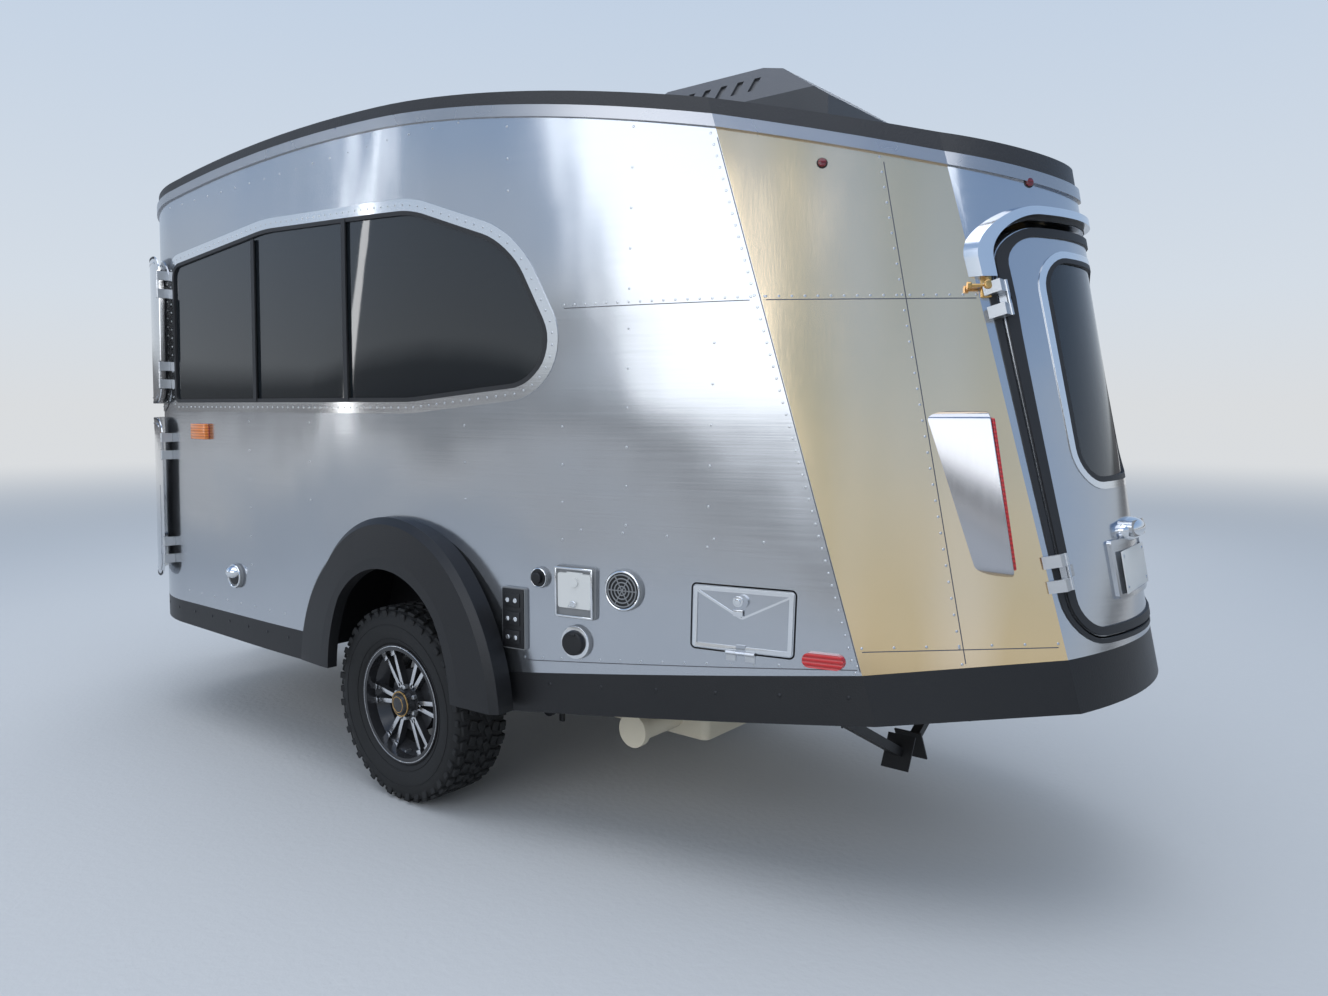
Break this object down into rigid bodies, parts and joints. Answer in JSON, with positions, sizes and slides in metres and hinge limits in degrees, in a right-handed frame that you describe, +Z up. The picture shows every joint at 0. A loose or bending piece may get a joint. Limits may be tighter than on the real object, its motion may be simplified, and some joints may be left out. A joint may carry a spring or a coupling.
{
  "type": "travel caravan",
  "caption": "Compact riveted aluminium travel caravan with a tapered tail, rear hatch, side door, wide tinted windows, tongue jack and flared wheel arches.",
  "frame": {"origin": "on the ground under the middle of the whole length", "axes": "+X to the rear, +Y to the kerb side with the entry door, +Z up"},
  "size_m": [5.0052, 2.1322, 2.6],
  "materials": {
    "body_skin": "brushed bright aluminium",
    "rail_grey": "satin grey",
    "roof_panel": "textured black",
    "black_moulding": "satin black moulding",
    "floor_board": "sealed board",
    "black_steel": "black chassis paint",
    "zinc_steel": "zinc plated",
    "wheel_alloy": "machined and black alloy",
    "tyre_rubber": "rubber",
    "tinted_glass": "dark tinted",
    "bottle_paint": "pale grey paint",
    "tank_plastic": "beige moulding",
    "red_lens": "red lens",
    "fitting_plastic": "grey fittings",
    "polished_guard": "polished sheet",
    "drip_metal": "extruded strip",
    "cooler_shroud": "dark shroud",
    "cabinet_board": "laminated board",
    "cushion_fabric": "woven grey"
  },
  "bodies": {
    "body_shell": {"wall_street": "body_skin", "wall_kerb": "body_skin", "wall_front": "body_skin", "quarter_street": "body_skin", "quarter_kerb": "body_skin", "tail_surround": "body_skin", "roof": "roof_panel", "roof_rail": "rail_grey", "rocker": "black_moulding", "floor": "floor_board", "well_street": "black_moulding", "well_kerb": "black_moulding", "flare_street": "black_moulding", "flare_kerb": "black_moulding", "windows_street": "tinted_glass", "windows_kerb": "tinted_glass", "windows_front": "tinted_glass", "air_conditioner": "cooler_shroud", "chassis": "black_steel", "axle": "black_steel", "coupler": "black_steel", "jack_tube": "zinc_steel", "gas_bottles": "bottle_paint", "waste_tank": "tank_plastic", "tail_pods": "body_skin", "tail_lenses": "red_lens", "marker_lamps": "red_lens", "utility_fittings": "fitting_plastic", "drip_cap": "drip_metal", "hinge_leaves": "zinc_steel", "stabiliser_brackets": "black_steel", "step_runners": "black_steel", "galley": "cabinet_board", "bench_street": "cabinet_board", "bench_kerb": "cabinet_board", "cushion_street": "cushion_fabric", "cushion_kerb": "cushion_fabric"},
    "hatch": {"hatch": "body_skin", "hatch_glass": "tinted_glass"},
    "entry_door": {"entry_door": "body_skin", "door_glass": "tinted_glass"},
    "entry_step": {"entry_step": "black_steel"},
    "access_door": {"access_door": "body_skin"},
    "fill_lid": {"fill_lid": "fitting_plastic"},
    "jack_leg": {"jack_leg": "zinc_steel"},
    "guard_upper_street": {"guard_upper_street": "polished_guard"},
    "guard_upper_kerb": {"guard_upper_kerb": "polished_guard"},
    "guard_lower_street": {"guard_lower_street": "polished_guard"},
    "guard_lower_kerb": {"guard_lower_kerb": "polished_guard"},
    "stabiliser_front_street": {"stabiliser_front_street": "black_steel"},
    "stabiliser_front_kerb": {"stabiliser_front_kerb": "black_steel"},
    "stabiliser_rear_street": {"stabiliser_rear_street": "black_steel"},
    "stabiliser_rear_kerb": {"stabiliser_rear_kerb": "black_steel"},
    "wheel_street": {"tyre_street": "tyre_rubber", "rim_street": "wheel_alloy"},
    "wheel_kerb": {"tyre_kerb": "tyre_rubber", "rim_kerb": "wheel_alloy"}
  },
  "joints": [
    {"name": "wheel_street_spin", "type": "hinge", "parent": "body_shell", "child": "wheel_street", "pos_m": [0.175, -0.8725, 0.366], "axis": [0, 1, 0], "continuous": true},
    {"name": "wheel_kerb_spin", "type": "hinge", "parent": "body_shell", "child": "wheel_kerb", "pos_m": [0.175, 0.8725, 0.366], "axis": [0, 1, 0], "continuous": true},
    {"name": "hatch_swing", "type": "hinge", "parent": "body_shell", "child": "hatch", "pos_m": [2.15764, -0.33406, 1.76953], "axis": [0.251, -0.0216, -0.9677], "range_deg": [0, 110]},
    {"name": "door_swing", "type": "hinge", "parent": "body_shell", "child": "entry_door", "pos_m": [-1.098, 1.02745, 0.76014], "axis": [0, -0.0216, 0.9998], "range_deg": [0, 95]},
    {"name": "step_slide", "type": "slide", "parent": "body_shell", "child": "entry_step", "axis": [0, 1, 0], "range_m": [0, 0.28]},
    {"name": "access_swing", "type": "hinge", "parent": "body_shell", "child": "access_door", "pos_m": [1.5654, -0.78739, 0.7455], "axis": [0.9752, 0.2215, 0], "range_deg": [0, 110]},
    {"name": "fill_lid_swing", "type": "hinge", "parent": "body_shell", "child": "fill_lid", "pos_m": [1.01285, -0.90252, 0.938], "axis": [-0.9861, -0.166, 0], "range_deg": [0, 100]},
    {"name": "jack_slide", "type": "slide", "parent": "body_shell", "child": "jack_leg", "axis": [0, 0, 1], "range_m": [0, 0.25]},
    {"name": "guard_upper_street_swing", "type": "hinge", "parent": "body_shell", "child": "guard_upper_street", "pos_m": [-1.455, -1.04142, 1.605], "axis": [0, 0.0216, 0.9998], "range_deg": [0, 100]},
    {"name": "guard_lower_street_swing", "type": "hinge", "parent": "body_shell", "child": "guard_lower_street", "pos_m": [-1.455, -1.05879, 0.8], "axis": [0, 0.0216, 0.9998], "range_deg": [0, 100]},
    {"name": "stabiliser_front_street_swing", "type": "hinge", "parent": "body_shell", "child": "stabiliser_front_street", "pos_m": [-1.16, -0.48, 0.3757], "axis": [-1, 0, 0], "range_deg": [0, 76]},
    {"name": "stabiliser_rear_street_swing", "type": "hinge", "parent": "body_shell", "child": "stabiliser_rear_street", "pos_m": [1.73, -0.48, 0.50441], "axis": [-1, 0, 0], "range_deg": [0, 62]},
    {"name": "guard_upper_kerb_swing", "type": "hinge", "parent": "body_shell", "child": "guard_upper_kerb", "pos_m": [-1.455, 1.04142, 1.605], "axis": [0, 0.0216, -0.9998], "range_deg": [0, 100]},
    {"name": "guard_lower_kerb_swing", "type": "hinge", "parent": "body_shell", "child": "guard_lower_kerb", "pos_m": [-1.455, 1.05879, 0.8], "axis": [0, 0.0216, -0.9998], "range_deg": [0, 100]},
    {"name": "stabiliser_front_kerb_swing", "type": "hinge", "parent": "body_shell", "child": "stabiliser_front_kerb", "pos_m": [-1.16, 0.48, 0.3757], "axis": [1, 0, 0], "range_deg": [0, 76]},
    {"name": "stabiliser_rear_kerb_swing", "type": "hinge", "parent": "body_shell", "child": "stabiliser_rear_kerb", "pos_m": [1.73, 0.48, 0.50441], "axis": [1, 0, 0], "range_deg": [0, 62]}
  ]
}
